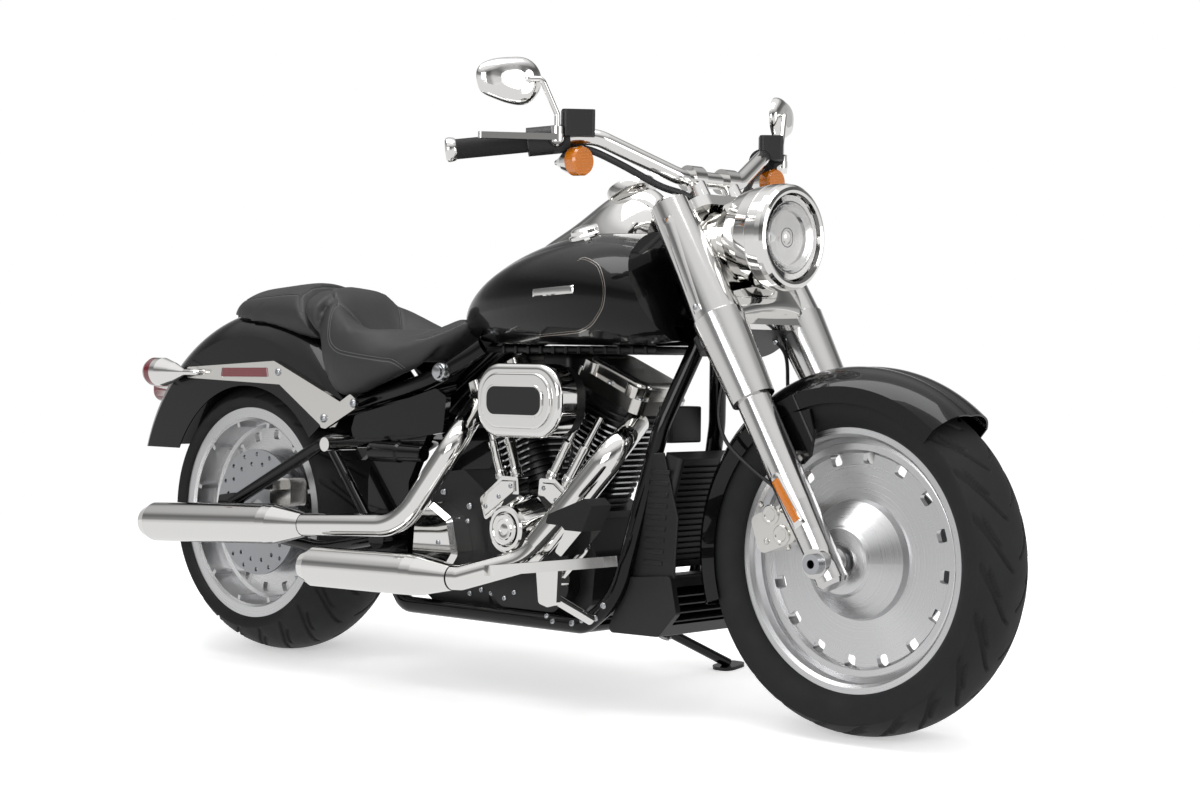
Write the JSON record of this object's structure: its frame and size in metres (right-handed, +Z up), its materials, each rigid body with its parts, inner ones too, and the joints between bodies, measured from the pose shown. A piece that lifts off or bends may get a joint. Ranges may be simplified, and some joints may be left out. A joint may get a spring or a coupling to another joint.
{
  "type": "cruiser motorcycle",
  "caption": "Black and chrome V-twin cruiser motorcycle parked on its side stand, with a wide rear wheel, raked fork, teardrop tank, slash-cut mufflers and a pulled-back handlebar.",
  "frame": {"origin": "centre of the bounding box in plan, on the floor plane", "axes": "+X forward along the motorcycle, +Y to its left, +Z up; the motorcycle leans 7 degrees to its left on its side stand"},
  "size_m": [2.4506, 0.9405, 1.2867],
  "materials": {
    "black_plastic": "matt",
    "bright_chrome": "polished",
    "disc_steel": "brushed",
    "engine_black": "satin",
    "gloss_black": "gloss",
    "grip_rubber": "matt",
    "lamp_glass": "clear",
    "satin_silver": "satin",
    "seat_cover": "satin",
    "tyre_rubber": "matt",
    "wheel_silver": "satin"
  },
  "bodies": {
    "frame": {"air_cleaner_base": "engine_black", "air_cleaner_cover": "bright_chrome", "cam_cover": "bright_chrome", "crankcase": "engine_black", "drive_belt": "grip_rubber", "exhaust_headers": "bright_chrome", "fender_struts": "satin_silver", "foot_controls": "bright_chrome", "footboards": "bright_chrome", "frame": "gloss_black", "front_cylinder": "engine_black", "fuel_tank": "gloss_black", "gearbox": "engine_black", "gearbox_cover": "bright_chrome", "heat_shield": "satin_silver", "lower_muffler": "bright_chrome", "passenger_pegs": "bright_chrome", "pillion_seat": "seat_cover", "primary_cover": "bright_chrome", "pushrod_tubes": "bright_chrome", "radiator": "black_plastic", "rear_axle": "disc_steel", "rear_caliper": "satin_silver", "rear_cylinder": "engine_black", "rear_fender": "gloss_black", "rear_lamps": "bright_chrome", "rider_seat": "seat_cover", "rocker_covers": "satin_silver", "side_covers": "gloss_black", "strut_links": "satin_silver", "swingarm": "gloss_black", "tank_console": "bright_chrome", "upper_muffler": "bright_chrome"},
    "rear_wheel": {"rear_tyre": "tyre_rubber", "rear_rim": "wheel_silver", "rear_brake_disc": "disc_steel", "rear_pulley": "wheel_silver"},
    "front_wheel": {"front_tyre": "tyre_rubber", "front_rim": "wheel_silver", "front_brake_disc": "disc_steel"},
    "side_stand": {"side_stand": "gloss_black"},
    "steering": {"fork_clamps": "gloss_black", "fork_legs": "satin_silver", "headlamp_shell": "bright_chrome", "headlamp_lens": "lamp_glass", "handlebar": "bright_chrome", "grips": "grip_rubber", "hand_controls": "bright_chrome", "mirrors": "bright_chrome", "front_signals": "bright_chrome", "front_fender": "gloss_black", "front_calipers": "satin_silver", "front_axle": "disc_steel"}
  },
  "joints": [
    {"name": "steering", "type": "hinge", "parent": "frame", "child": "steering", "pos_m": [0.62875, -0.0635, 0.64666], "axis": [-0.5, 0.1055, 0.8596], "range_deg": [-30, 30]},
    {"name": "front_wheel_spin", "type": "hinge", "parent": "steering", "child": "front_wheel", "pos_m": [0.90075, -0.10332, 0.32235], "axis": [0, 0.9925, -0.1219], "continuous": true},
    {"name": "rear_wheel_spin", "type": "hinge", "parent": "frame", "child": "rear_wheel", "pos_m": [-0.76425, -0.10332, 0.32235], "axis": [0, 0.9925, -0.1219], "continuous": true},
    {"name": "side_stand", "type": "hinge", "parent": "frame", "child": "side_stand", "pos_m": [0.28075, 0.03279, 0.10161], "axis": [0.0209, 0.5658, 0.8242], "range_deg": [0, 97.7]}
  ]
}
